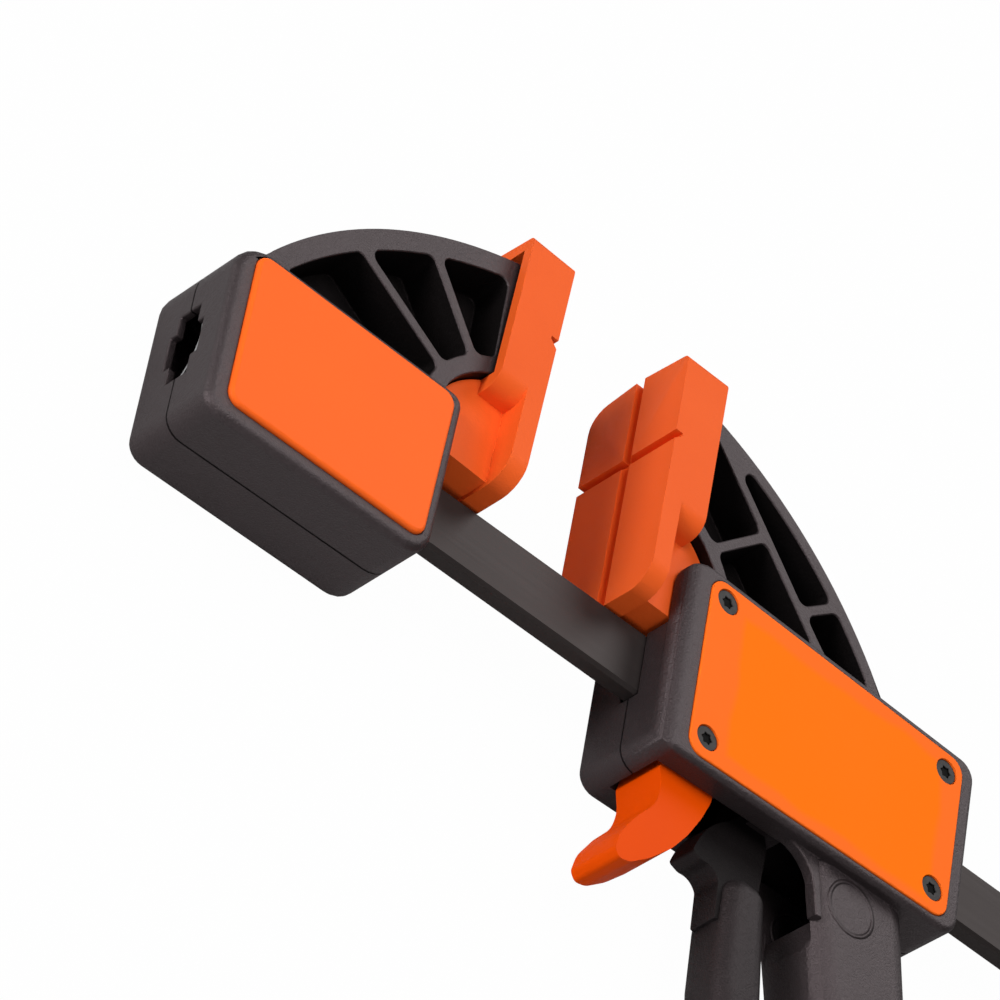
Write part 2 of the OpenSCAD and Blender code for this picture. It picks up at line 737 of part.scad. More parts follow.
// Curved web between the casing's underside and the front of the handle
web_fillet = 15;
web_run = 18;
web_fall = 21;
web_y = -body_half_h + body_taper / 2;
web_top = web_y + wall;
web_x = handle_x + handle_shift(web_y);
web_foot = web_y - web_fall;
web_points = [
    [web_x - web_run, web_top], [web_x - web_run, web_y], [web_x + fit_gap, web_y],
    [handle_x + handle_shift(web_foot) + fit_gap, web_foot],
    [handle_x + handle_shift(web_foot) + wall, web_foot], [web_x + wall, web_top]
];
web_radii = [0, 0, web_fillet, 0, 0, 0];
room_depth = 11;
room_end_x = handle_x + room_depth;
room_drop = 68;
module lever_pin_boss() {
    translate([lever_pin_x, lever_pin_y, cheek_out + loose_gap])
        cylinder(r = pin_boss_r, h = body_cavity + run_gap - cheek_out - loose_gap);
}
cheek_in = bar_t / 2 + 1;
cheek_out = cheek_in + cheek_t;
module body_half() {
    difference() {
        union() {
            difference() {
                union() {
                    soft_half(body_points, body_radii, body_half_w, body_round);
                    soft_half(handle_points, handle_radii, handle_half, handle_round);
                    linear_extrude(handle_half - fit_gap) polygon(rounded(web_points, web_radii));
                }
                body_hollow();
                handle_hollow();
                lever_room();
            }
            // Guide wall behind the drive spring, seat wall of the brake spring, bosses
            translate([rear_guide_from, -body_half_h + body_taper, 0])
                cube([guide_t, 2 * (body_half_h - body_taper), body_cavity + run_gap]);
            translate([spring_wall_x, brake_spring_y - 2 * brake_spring_r, 0])
                cube([spring_wall_t, 3 * brake_spring_r, body_cavity + run_gap]);
            lever_pin_boss();
            translate([brake_x, brake_y, brake_half + loose_gap])
                cylinder(r = 2 * trunnion_r, h = body_cavity + run_gap - brake_half - loose_gap);
            intersection() {
                linear_extrude(body_cavity + run_gap) polygon(walled(body_points, body_radii, wall / 2));
                moving_jaw_frame() cylinder(r = hub_r + wall, h = case_half, $fn = 96);
                translate([body_x, bar_h / 2, 0]) cube([hub_r, body_half_h, case_half]);
            }
            moving_jaw_frame() difference() {
                arch_blank(body_half_h - swivel_y - wall);
                arch_pockets(
                    moving_rim, arch_nose + front_rib,
                    body_half_h - swivel_y - pocket_corner, moving_hub_wall
                ) moving_arch_ribs();
            }
        }
        bar_channel(body_x - overrun, body_end_x + overrun, fit_gap);
        moving_jaw_frame() intersection() {
            translate([0, 0, -overrun]) cylinder(r = hub_r, h = seat_half + overrun, $fn = 96);
            translate([0, -swivel_y + bar_h / 2, -overrun])
                cube([hub_r + overrun, 2 * hub_r, seat_half + 2 * overrun]);
        }
        translate([0, 0, plate_floor]) linear_extrude(plate_seat + overrun)
            polygon(rounded(plate_points, plate_radii));
        translate([lever_pin_x, lever_pin_y, -overrun])
            cylinder(r = lever_pin_r, h = lever_pin_half + overrun);
        translate([brake_x, brake_y, -overrun])
            cylinder(r = trunnion_r + run_gap, h = brake_half + trunnion_reach + fit_gap + overrun);
        for (place = plate_screw_places)
            translate([place.x, place.y, plate_screw_top - plate_screw_len])
                cylinder(r = screw_r, h = case_half);
        for (place = handle_screw_places) {
            translate([place.x, place.y, -overrun]) cylinder(r = screw_r, h = case_half);
            translate([place.x, place.y, handle_screw_top - screw_head_h - run_gap])
                cylinder(r = screw_head_r + fit_gap, h = case_half);
        }
    }
}
module body_hollow() {
    translate([0, 0, -overrun]) linear_extrude(body_cavity + overrun)
        polygon(walled(body_points, body_radii, wall));
}
// The handle is hollow from inside the casing down to its foot, but for its screw bosses
module handle_hollow() {
    translate([0, 0, -overrun]) linear_extrude(handle_ceiling + overrun) difference() {
        polygon(walled(handle_points, handle_radii, wall));
        for (place = handle_screw_places)
            translate([place.x, place.y]) circle(r = boss_r);
    }
}
// Slot for the trigger and the lever, deeper behind the lever's neck
module lever_room() {
    translate([body_x + wall + slot_gap, -body_half_h - overrun, -overrun])
        cube([room_end_x - body_x - wall - slot_gap, wall + body_taper + 2 * overrun, slot_half + overrun]);
    translate([web_x - web_fillet, -room_drop, -overrun])
        cube([room_end_x - web_x + web_fillet, room_drop - body_half_h + body_taper, slot_half + overrun]);
}
// The near front edge is rounded away towards the side plate
module front_edge_cut() {
    translate([body_x - overrun, body_half_h + overrun, body_half_w - front_round]) rotate([90, 0, 0])
        linear_extrude(2 * body_half_h + 2 * overrun) difference() {
            square([front_round + overrun, front_round + overrun]);
            translate([front_round + overrun, 0]) circle(r = front_round, $fn = 96);
        }
}
module moving_shell_near() {
    color(black) at_rest() difference() {
        body_half();
        front_edge_cut();
    }
}
module moving_shell_far() {
    color(black) at_rest() mirror([0, 0, 1]) body_half();
}
module plate_half() {
    difference() {
        translate([0, 0, plate_floor]) soft_half(
            shrunk(plate_points, run_gap), plate_radii, plate_seat + plate_proud, plate_proud);
        for (place = plate_screw_places) {
            translate([place.x, place.y, 0]) cylinder(r = screw_r + run_gap, h = body_w);
            translate([place.x, place.y, plate_screw_top - plate_screw_head_h])
                cylinder(r = plate_screw_head_r + fit_gap, h = body_half_w);
        }
    }
}
module side_plate_near() {
    color(plate_orange) at_rest() plate_half();
}
module side_plate_far() {
    color(plate_orange) at_rest() mirror([0, 0, 1]) plate_half();
}
module plate_screw() {
    difference() {
        union() {
            cylinder(r = screw_r, h = plate_screw_len);
            translate([0, 0, plate_screw_len - plate_screw_head_h])
                cylinder(r = plate_screw_head_r, h = plate_screw_head_h);
        }
        translate([0, 0, plate_screw_len - plate_screw_head_h / 2])
            linear_extrude(plate_screw_head_h) star(plate_screw_head_r * socket_share);
    }
}
module plate_screws() {
    color(black) at_rest() for (side = [0, 1]) mirror([0, 0, side])
        for (place = plate_screw_places)
            translate([place.x, place.y, plate_screw_top - plate_screw_len]) plate_screw();
}
module handle_screws() {
    color(bright) at_rest() for (place = handle_screw_places)
        translate([place.x, place.y, -screw_reach]) screw(handle_screw_top + screw_reach);
}

// Brake plate: hangs on its trunnion, tilted forward, with a long slot for the bar
brake_slot_half = bar_h / 2 + brake_t * sin(brake_tilt) + loose_gap;
module in_brake_frame() {
    translate([brake_x, brake_y, 0]) rotate([0, 0, -brake_tilt]) children();
}
module brake_plate() {
    color(steel) at_rest() in_brake_frame() difference() {
        union() {
            translate([-brake_t / 2, -brake_len, -brake_half]) cube([brake_t, brake_len, 2 * brake_half]);
            translate([0, 0, -brake_half - trunnion_reach])
                cylinder(r = trunnion_r, h = 2 * (brake_half + trunnion_reach));
        }
        translate([-brake_t, -brake_y / cos(brake_tilt) - brake_slot_half, -bar_t / 2 - loose_gap])
            cube([2 * brake_t, 2 * brake_slot_half, bar_t + 2 * loose_gap]);
    }
}
brake_face_x = brake_x + brake_t / 2 / cos(brake_tilt) + fit_gap
    + (brake_spring_y + brake_spring_r - brake_y) * tan(brake_tilt);
module brake_spring() {
    color(bright) at_rest() translate([brake_face_x, brake_spring_y, 0])
        coil(spring_wall_x - fit_gap - brake_face_x, brake_spring_r, brake_wire_r, brake_turns);
}

// Release trigger: a curved hook moulded on the lower end of the brake plate
trigger_half = trigger_w / 2;
trigger_top = -31;
// Along the bar in shares of trigger_back, down from the casing in shares of its drop
trigger_shares = [
    [0.28, 0.01], [0.34, 0.18], [0.3, 0.35], [0.1, 0.55], [-0.07, 0.77], [-0.11, 0.93], [-0.04, 0.995],
    [0.1, 0.97], [0.33, 0.83], [0.59, 0.62], [0.76, 0.42], [0.895, 0.21], [0.99, 0.01]
];
trigger_points = concat(
    [[body_x + trigger_back, trigger_top], [body_x + trigger_back / 3, trigger_top]],
    [for (share = trigger_shares)
        [body_x + share.x * trigger_back, -body_half_h - share.y * (trigger_drop - body_half_h)]]);
trigger_round_shares = [0.03, 0.06, 0.1, 0.42, 0.42, 0.6, 0.5, 0.09, 0.07, 0.24, 0.9, 0.9, 1, 1, 0.4];
trigger_radii = [for (share = trigger_round_shares) share * trigger_back];
module release_trigger() {
    color(orange) at_rest() difference() {
        translate([0, 0, -trigger_half]) linear_extrude(2 * trigger_half)
            polygon(rounded(trigger_points, trigger_radii));
        in_brake_frame() translate([-brake_t / 2, -brake_len, -brake_half])
            cube([brake_t, brake_len, 2 * brake_half]);
    }
}

// Squeeze lever: two cheeks reach past the bar to the pin, a narrow neck leaves the
// casing behind the trigger and a rounded grip hangs below
yoke_top = -17;
yoke_drop = 34;
yoke_half = 9.6;
neck_half = 5.5;
neck_top = -29;
// Along the bar in shares of lever_pin_back, down from the bar in shares of lever_drop
neck_shares = [
    [0.78, 0.29], [0.634, 0.335], [0.563, 0.417], [0.54, 0.45], [0.606, 0.461], [0.697, 0.458],
    [0.75, 0.486], [0.76, 0.6], [1.03, 0.6], [1.06, 0.3]
];
lever_neck_points = concat(
    [[lever_pin_x, neck_top], [lever_pin_x - cheek_r, neck_top]],
    [for (share = neck_shares) [body_x + share.x * lever_pin_back, -share.y * lever_drop]]);
neck_round_shares = [0.01, 0.01, 0.1, 0.5, 0.4, 0.02, 0.06, 0.1, 0.06, 0.01, 0.01, 0.04];
lever_neck_radii = [for (share = neck_round_shares) share * lever_pin_back];
grip_shares = [
    [0.785, 0.45], [0.785, 0.59], [0.8, 0.77], [0.868, 1], [1.15, 1], [1.155, 0.79], [1.07, 0.45]
];
lever_grip_points = [for (share = grip_shares) [body_x + share.x * lever_pin_back, -share.y * lever_drop]];
grip_radii = [for (share = grip_shares) grip_round + fit_gap];
module squeeze_lever() {
    color(black) at_rest() difference() {
        union() {
            for (side = [0, 1]) mirror([0, 0, side]) {
                translate([lever_pin_x, lever_pin_y, cheek_in]) cylinder(r = cheek_r, h = cheek_t);
                translate([lever_pin_x - cheek_r, yoke_top - wall, cheek_in])
                    cube([2 * cheek_r, lever_pin_y - yoke_top + wall, cheek_t]);
                soft_half(lever_grip_points, grip_radii, grip_w / 2, grip_round);
            }
            translate([lever_pin_x - cheek_r, -yoke_drop, -yoke_half])
                cube([2 * cheek_r, yoke_drop + yoke_top, 2 * yoke_half]);
            translate([0, 0, -neck_half]) linear_extrude(2 * neck_half)
                polygon(rounded(lever_neck_points, lever_neck_radii));
        }
        translate([lever_pin_x, lever_pin_y, -grip_w]) cylinder(r = lever_pin_r + run_gap, h = 2 * grip_w);
    }
}
module lever_pin() {
    color(bright) at_rest() translate([lever_pin_x, lever_pin_y, -lever_pin_half])
        cylinder(r = lever_pin_r, h = 2 * lever_pin_half);
}

// Drive: two hardened plates on the bar, pushed by the cheeks and returned by a spring
module drive_plates() {
    color(bright) at_rest() for (i = [0, 1])
        translate([lever_pin_x + cheek_r + loose_gap + i * (drive_plate_t + run_gap), 0, 0]) difference() {
            translate([0, -drive_plate_half_h, -drive_plate_w / 2])
                cube([drive_plate_t, 2 * drive_plate_half_h, drive_plate_w]);
            bar_channel(-overrun, drive_plate_t + overrun, fit_gap);
        }
}
module drive_spring() {
    color(bright) at_rest() translate([rear_guide_x + fit_gap, 0, 0])
        coil(drive_spring_len - fit_gap, drive_spring_r, drive_wire_r, drive_turns);
}

bar();
bar_stop_pins();
fixed_shell_near();
fixed_shell_far();
fixed_inlay_near();
fixed_inlay_far();
fixed_jaw_screws();
lock_leaf();
fixed_pad();
moving_shell_near();
moving_shell_far();
side_plate_near();
side_plate_far();
plate_screws();
handle_screws();
moving_pad();
brake_plate();
brake_spring();
release_trigger();
squeeze_lever();
lever_pin();
drive_plates();
drive_spring();
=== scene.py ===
"""Looks of the bar clamp: its moulded casings, soft pads and steel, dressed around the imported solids."""

import json
import math
from collections import namedtuple

import bpy
from mathutils import Euler, Matrix, Vector


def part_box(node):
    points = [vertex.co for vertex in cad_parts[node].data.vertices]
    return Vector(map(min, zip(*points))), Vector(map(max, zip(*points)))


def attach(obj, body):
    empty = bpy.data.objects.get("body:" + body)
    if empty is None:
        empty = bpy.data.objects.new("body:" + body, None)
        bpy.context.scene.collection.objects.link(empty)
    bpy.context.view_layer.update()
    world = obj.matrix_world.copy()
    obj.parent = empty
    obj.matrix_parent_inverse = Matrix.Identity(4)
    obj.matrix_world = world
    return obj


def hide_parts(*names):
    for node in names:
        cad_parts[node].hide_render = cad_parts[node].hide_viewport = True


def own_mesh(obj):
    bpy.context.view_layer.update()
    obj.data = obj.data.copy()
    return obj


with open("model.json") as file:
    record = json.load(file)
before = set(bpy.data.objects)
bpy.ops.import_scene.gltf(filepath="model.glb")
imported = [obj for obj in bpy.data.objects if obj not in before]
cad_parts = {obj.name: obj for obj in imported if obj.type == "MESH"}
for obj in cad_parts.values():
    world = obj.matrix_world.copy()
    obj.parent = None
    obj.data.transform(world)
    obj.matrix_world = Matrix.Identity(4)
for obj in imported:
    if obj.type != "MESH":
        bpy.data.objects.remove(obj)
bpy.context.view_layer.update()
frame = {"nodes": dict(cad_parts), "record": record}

MM = 0.001

# Places on the clamp, read from its solids, in metres
END_FACE_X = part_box("fixed_shell_near")[0].x
PARTING_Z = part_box("fixed_shell_near")[0].z
BAR_LOW, BAR_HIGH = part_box("bar")
BAR_MIDDLE_Y = (BAR_LOW.y + BAR_HIGH.y) / 2
ON_END_FACE = Vector((END_FACE_X, BAR_MIDDLE_Y, PARTING_Z))
PLATE_LOW, PLATE_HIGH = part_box("side_plate_near")


def at(x, y, z=0.0):
    """A place in metres from millimetres on the clamp.

    x counts from the fixed jaw's end face, y from the middle of the bar and z from the parting line.
    """
    return ON_END_FACE + Vector((x, y, z)) * MM


def on_clamp(place):
    """A place in millimetres on the clamp, from one in metres."""
    return (place - ON_END_FACE) / MM


# Sizes of the solids that the roundings and finishes follow, in millimetres on the clamp
PAD_PIVOT_Y = 22
PAD_FACE_X = {"fixed_pad": 120, "moving_pad": 175.3}
PAD_LEAN_DEGREES = {"fixed_pad": 3, "moving_pad": 0.6}
PAD_HALF = on_clamp(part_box("fixed_pad")[1]).z
GROOVES_FOOT_Y = 15
GROOVES_TOP_Y = 112
GROOVE_REACH = 3.4
ARCH_RADIUS = 165
ARCH_HALF = 17.5
ARCH_BACK = 28
ARCH_DOWN = 78
ARCH_CENTRE_X = {
    "fixed_shell": PAD_FACE_X["fixed_pad"] + ARCH_BACK,
    "moving_shell": PAD_FACE_X["moving_pad"] - ARCH_BACK}
ARCH_CENTRE_Y = PAD_PIVOT_Y - ARCH_DOWN
ARCH_FOOT_Y = {"fixed_shell": 36, "moving_shell": 39.6}

# The handle's raised ring: its middle as a place in metres, its radius and half its width in millimetres
HANDLE_RING = at(283.5, -48)
HANDLE_RING_RADIUS = 9.5
HANDLE_RING_HALF = 0.9

# The rounded front of the near sliding casing: from where to where along X, above which Z, and the
# length of the short edges that close its facets
FRONT_ROUND_X = (192.5, 199.3)
FRONT_ROUND_Z = 13.5
FRONT_ROUND_SHORT_EDGE = 0.7

# The lever's neck between the casing's halves, and the front line of the trigger's hook, which slants
NECK_HALF = 5.5
NECK_FOOT_Y = -70
HOOK_TOP_Y = -42
HOOK_FRONT_X = 203.4
HOOK_FRONT_Y = -60
HOOK_FRONT_SLANT = 0.35

# The side plates' screws: the radius of their star sockets, the depths under a head's face between
# which a socket's walls and floor lie, and a distance that two screws are never nearer than
SOCKET_RADIUS = 2.5
SOCKET_DEPTHS = (0.25, 3)
SCREW_SPACING = 10

# The film on a side plate, in millimetres: its margins, the wave of its border and that border's softness
FILM_FRONT_MARGIN = 14
FILM_REAR_MARGIN = 8
FILM_FOOT_MARGIN = 5
FILM_TOP_MARGIN = 7
FILM_WAVE = 6
FILM_SOFT_EDGE = 2.5

# How near or how clear of a place an edge or a face has to be, in millimetres
AT_HEAD_FACE = 0.05
AT_PARTING = 0.02
CLEAR_OF_PARTING = 0.3
PARTING_SLOPE = 0.5
AT_ARCH_SIDE = 0.2
AT_ARCH_CURVE = 0.6
POCKET_SIDE_MARGIN = 0.7
POCKET_RIM_MARGIN = 1.2
PAD_SIDE_MARGIN = 0.2
NECK_SIDE_MARGIN = 0.3

# How much of a face's direction points across the clamp, from 0 to 1
STRAIGHT_ACROSS = 0.99
ASLANT_LEAST = 0.2
ASLANT_MOST = 0.95
PARTLY_ACROSS = 0.3

# How the copies of the solids are welded, rounded and shaded
WELD_REACH = 0.002 * MM
FLAT_ANGLE = math.radians(1)
SHARP_ANGLE = math.radians(36)
SMOOTH_ANGLE = math.radians(38)
SHORTEST_EDGE_IN_WIDTHS = 2

# Camera: its place, its turns about X, Y and Z in degrees, its lens and sensor in millimetres, and
# from how near to how far it sees, in metres
CAMERA_EYE = at(-778.6, -1307.9, 1252.6)
CAMERA_TURNS = (33.9003, -42.3799, 10.8820)
CAMERA_LENS = 231.4
CAMERA_SENSOR = 36
CAMERA_NEAR = 0.05
CAMERA_FAR = 30

# Floor and light: the floor's width in metres, its share of plain white to the camera, and the strength
# of the light from all round
WHITE = (1.0, 1.0, 1.0, 1.0)
FLOOR_WIDTH = 6.0
FLOOR_COLOUR = (0.5, 0.5, 0.5, 1.0)
FLOOR_WHITE_SHARE = 0.985
SOFT_LIGHT = 0.14

# The tints of the gloss, and the stretch that draws a pattern out along the bar
NYLON_GLOSS = (1.0, 0.82, 0.85, 1.0)
STEEL_GLOSS = (1.0, 0.86, 0.84, 1.0)
ALONG_BAR = (0.02, 1, 1)

# The Mix node's sockets for colours, which share their names with others
MIX_FIRST = 6
MIX_SECOND = 7
MIX_RESULT = 2


def add_camera():
    """The photograph's view of the clamp, through a long lens."""
    data = bpy.data.cameras.new("camera")
    data.lens = CAMERA_LENS
    data.sensor_width = CAMERA_SENSOR
    data.clip_start = CAMERA_NEAR
    data.clip_end = CAMERA_FAR
    camera = bpy.data.objects.new("camera", data)
    bpy.context.scene.collection.objects.link(camera)
    turns = Euler([math.radians(degrees) for degrees in CAMERA_TURNS])
    camera.matrix_world = Matrix.LocRotScale(CAMERA_EYE, turns, None)
    bpy.context.scene.camera = camera


# Shaders
class Value:
    """A shader socket that can stand in sums, differences, products, quotients and powers."""

    def __init__(self, paint, socket):
        self.paint = paint
        self.socket = socket

    def _with(self, operation, first, second):
        return self.paint.add("ShaderNodeMath", {"operation": operation}, {0: first, 1: second})

    def __add__(self, other):
        return self._with("ADD", self, other)

    __radd__ = __add__

    def __sub__(self, other):
        return self._with("SUBTRACT", self, other)

    def __rsub__(self, other):
        return self._with("SUBTRACT", other, self)

    def __mul__(self, other):
        return self._with("MULTIPLY", self, other)

    __rmul__ = __mul__

    def __truediv__(self, other):
        return self._with("DIVIDE", self, other)

    def __rtruediv__(self, other):
        return self._with("DIVIDE", other, self)

    def __pow__(self, other):
        return self._with("POWER", self, other)

    def __rpow__(self, other):
        return self._with("POWER", other, self)

    def lesser(self, other):
        """The lesser of the two values."""
        return self._with("MINIMUM", self, other)

    def held(self, low, high):
        """The value, kept between low and high."""
        return self._with("MAXIMUM", self, low).lesser(high)


class Paint:
    """The nodes of one material, or of the world."""

    def __init__(self, owner, output="ShaderNodeOutputMaterial"):
        owner.use_nodes = True
        self.owner = owner
        self.output = output
        self.tree = owner.node_tree
        self.tree.nodes.clear()

    def add(self, kind, settings=None, inputs=None, out=0):
        """A node with its settings, then the values or links of its sockets; gives one output."""
        node = self.tree.nodes.new(kind)
        for key, setting in (settings or {}).items():
            setattr(node, key, setting)
        for key, given in (inputs or {}).items():
            if isinstance(given, Value):
                self.tree.links.new(given.socket, node.inputs[key])
            else:
                node.inputs[key].default_value = given
        return Value(self, node.outputs[out]) if node.outputs else None

    def place(self):
        """Object coordinates, in metres."""
        return self.add("ShaderNodeTexCoord", out="Object")

    def stretched(self, scale):
        """Object coordinates, stretched to give a pattern its grain."""
        return self.add("ShaderNodeMapping", {}, {"Vector": self.place(), "Scale": scale})

    def noise(self, scale, detail, rough, vector=None):
        """A cloudy pattern from 0 to 1, with that many lumps in a metre."""
        inputs = {"Vector": vector or self.place(), "Scale": scale, "Detail": detail, "Roughness": rough}
        return self.add("ShaderNodeTexNoise", {}, inputs)

    def mix(self, share, first, second):
        """A mix of two colours, each a value or its red, green and blue: first at 0, second at 1."""
        inputs = {"Factor": share}
        for key, given in ((MIX_FIRST, first), (MIX_SECOND, second)):
            inputs[key] = given if isinstance(given, Value) else (*given, 1.0)
        return self.add("ShaderNodeMix", {"data_type": "RGBA"}, inputs, out=MIX_RESULT)

    def axis(self, name):
        """One of the object coordinates, X, Y or Z."""
        return self.add("ShaderNodeSeparateXYZ", {}, {"Vector": self.place()}, out=name)

    def ring(self, middle, radius, half_width):
        """1 on a ring round a place, seen along Z, and 0 off it; sizes in millimetres."""
        x = self.axis("X") - middle.x
        y = self.axis("Y") - middle.y
        away = (x * x + y * y) ** 0.5 / MM - radius
        return (1 - away * away / half_width ** 2).held(0, 1)

    def bump(self, height, depth, strength=1.0, normal=None):
        """A bump by height, depth millimetres deep, on top of the bump in normal."""
        inputs = {"Height": height, "Distance": depth * MM, "Strength": strength}
        if normal:
            inputs["Normal"] = normal
        return self.add("ShaderNodeBump", {}, inputs)

    def show(self, surface):
        """Puts the surface on the material or the world."""
        self.add(self.output, {}, {"Surface": surface})
        return self.owner

    def finish(self, **sockets):
        """A principled shader as the surface, with these sockets by their names with underscores."""
        inputs = {key.replace("_", " "): given for key, given in sockets.items()}
        return self.show(self.add("ShaderNodeBsdfPrincipled", {}, inputs))


def new_paint(name):
    """An empty material of that name, to be given its nodes."""
    return Paint(bpy.data.materials.new(name))


# Finishes
def spark_nylon(name, deep, light, shine):
    """Black glass-filled nylon, with the grain of a spark-eroded mould and the handle's raised ring."""
    paint = new_paint(name)
    grain = paint.noise(scale=1500, detail=3, rough=0.6)
    coarse = paint.noise(scale=420, detail=2, rough=0.5)
    cloud = paint.noise(scale=28, detail=2, rough=0.5)
    ring = paint.ring(HANDLE_RING, HANDLE_RING_RADIUS, HANDLE_RING_HALF)
    grained = paint.bump(grain + coarse * 0.6, depth=0.26)
    return paint.finish(
        Base_Color=paint.mix(cloud * 0.5 + grain * 0.5, deep, light),
        Roughness=0.42 + grain * 0.2,
        Normal=paint.bump(ring, depth=0.7, normal=grained),
        Specular_IOR_Level=shine,
        Specular_Tint=NYLON_GLOSS)


def soft_moulding(name, deep, light):
    """Deep orange soft plastic of the pads, matte, with a fine mould grain."""
    paint = new_paint(name)
    grain = paint.noise(scale=1300, detail=3, rough=0.6)
    cloud = paint.noise(scale=35, detail=2, rough=0.5)
    return paint.finish(
        Base_Color=paint.mix(cloud * 0.7 + grain * 0.3, deep, light),
        Roughness=0.5 + grain * 0.2,
        Normal=paint.bump(grain, depth=0.10, strength=0.8),
        Specular_IOR_Level=0.12)


def smooth_plastic(name, deep, light, shine):
    """Smooth orange plastic, slightly uneven in its gloss."""
    paint = new_paint(name)
    cloud = paint.noise(scale=22, detail=2, rough=0.5)
    fine = paint.noise(scale=900, detail=2, rough=0.6)
    return paint.finish(
        Base_Color=paint.mix(cloud, deep, light),
        Roughness=0.38 + cloud * 0.1 + fine * 0.06,
        Normal=paint.bump(fine, depth=0.07, strength=0.8),
        Specular_IOR_Level=shine)


def plate_plastic(name, deep, light, film_colour):
    """Bright orange of the side plates: a deeper film inside, a paler border round it."""
    paint = new_paint(name)
    wave = (paint.noise(scale=45, detail=1, rough=0.4) - 0.5) * (FILM_WAVE * MM)
    x = paint.axis("X")
    y = paint.axis("Y")
    from_front = x - (PLATE_LOW.x + FILM_FRONT_MARGIN * MM)
    from_rear = (PLATE_HIGH.x - FILM_REAR_MARGIN * MM) - x
    from_foot = y - (PLATE_LOW.y + FILM_FOOT_MARGIN * MM)
    from_top = (PLATE_HIGH.y - FILM_TOP_MARGIN * MM) - y
    inside = from_front.lesser(from_rear).lesser(from_foot.lesser(from_top))
    film = ((inside + wave) / (FILM_SOFT_EDGE * MM)).held(0, 1)
    fine = paint.noise(scale=900, detail=2, rough=0.6)
    cloud = paint.noise(scale=22, detail=2, rough=0.5)
    return paint.finish(
        Base_Color=paint.mix(film, paint.mix(cloud, deep, light), film_colour),
        Roughness=0.4 + cloud * 0.08 + fine * 0.05,
        Normal=paint.bump(fine, depth=0.03, strength=0.5),
        Specular_IOR_Level=0.02)


def drawn_steel(name, deep, light):
    """Dark drawn steel of the bar, with fine lines along its length."""
    paint = new_paint(name)
    lines = paint.noise(scale=900, detail=3, rough=0.6, vector=paint.stretched(ALONG_BAR))
    cloud = paint.noise(scale=18, detail=3, rough=0.6)
    return paint.finish(
        Base_Color=paint.mix(lines * 0.5 + cloud * 0.5, deep, light),
        Metallic=0.3,
        Roughness=0.42 + lines * 0.12 + cloud * 0.08,
        Normal=paint.bump(lines, depth=0.02, strength=0.5),
        Specular_IOR_Level=0.4,
        Specular_Tint=STEEL_GLOSS)


def plated_steel(name, deep, light):
    """Zinc plated steel of the inner pieces, pins and screws."""
    paint = new_paint(name)
    cloud = paint.noise(scale=220, detail=3, rough=0.6)
    fine = paint.noise(scale=1800, detail=2, rough=0.5)
    return paint.finish(
        Base_Color=paint.mix(cloud, deep, light),
        Metallic=1.0,
        Roughness=0.24 + cloud * 0.22,
        Normal=paint.bump(fine, depth=0.02, strength=0.4))


def black_oxide_and_socket_shade(name, deep, light, shine):
    """Black oxide of the side plates' screws, and in near-black tones the painted shade in their star
    sockets.
    """
    paint = new_paint(name)
    cloud = paint.noise(scale=500, detail=3, rough=0.6)
    return paint.finish(
        Base_Color=paint.mix(cloud, deep, light),
        Roughness=0.4 + cloud * 0.2,
        Normal=paint.bump(cloud, depth=0.03, strength=0.5),
        Specular_IOR_Level=shine)


NYLON = spark_nylon(
    "black_spark_nylon", deep=(0.004, 0.0026, 0.0029), light=(0.016, 0.0115, 0.0122), shine=0.8)
# The lever's nylon, a darker copy of the casings': its extra darkness is painted shade.
NYLON_LEVER_PAINTED_SHADE = spark_nylon(
    "black_spark_nylon_lever_painted_shade", deep=(0.004, 0.003, 0.0032), light=(0.012, 0.0095, 0.010), shine=0.35)
# Painted shade: a near-black copy of the nylon for the casings' pockets, the parting line's groove and the
# lever's neck flanks.
NYLON_PAINTED_SHADE = spark_nylon(
    "black_spark_nylon_painted_shade", deep=(0.002, 0.0017, 0.0017), light=(0.006, 0.005, 0.005), shine=0.12)
SOFT = soft_moulding(
    "orange_soft_moulding", deep=(0.76, 0.094, 0.010), light=(0.84, 0.120, 0.018))
INLAY = smooth_plastic(
    "orange_inlay_plastic", deep=(0.88, 0.118, 0.012), light=(0.93, 0.135, 0.017), shine=0.05)
PLATE = plate_plastic(
    "bright_orange_plate_plastic", deep=(0.95, 0.145, 0.011), light=(0.98, 0.162, 0.016),
    film_colour=(0.98, 0.17, 0.0))
TRIGGER = smooth_plastic(
    "orange_trigger_plastic", deep=(0.72, 0.060, 0.0), light=(0.79, 0.076, 0.0), shine=0.03)
BAR_STEEL = drawn_steel(
    "dark_drawn_steel", deep=(0.017, 0.0135, 0.013), light=(0.033, 0.0275, 0.0265))
ZINC = plated_steel(
    "zinc_plated_steel", deep=(0.42, 0.42, 0.43), light=(0.68, 0.68, 0.68))
SCREW_BLACK = black_oxide_and_socket_shade(
    "black_oxide_screw", deep=(0.006, 0.005, 0.005), light=(0.016, 0.014, 0.014), shine=0.25)
# Painted shade: a near-black copy of the screws' finish for the floors and walls of their star sockets.
SOCKET_PAINTED_SHADE = black_oxide_and_socket_shade(
    "star_socket_painted_shade", deep=(0.0003, 0.0002, 0.0002), light=(0.001, 0.0008, 0.0008), shine=0.03)


# Pieces
BODIES = frame["record"]["behaviour"]["bodies"]
BODY_OF = {node: body for body, members in BODIES.items() for node in members}

# One pass over a piece's sharp edges: width in millimetres, steps, a test that picks the edges, and
# whether neighbouring roundings are kept apart
Rounding = namedtuple("Rounding", "width steps edges apart", defaults=[True])


def only(piece):
    """Nothing but this piece is selected and active."""
    if bpy.context.object and bpy.context.object.mode != "OBJECT":
        bpy.ops.object.mode_set(mode="OBJECT")
    bpy.ops.object.select_all(action="DESELECT")
    bpy.context.view_layer.objects.active = piece
    piece.select_set(True)


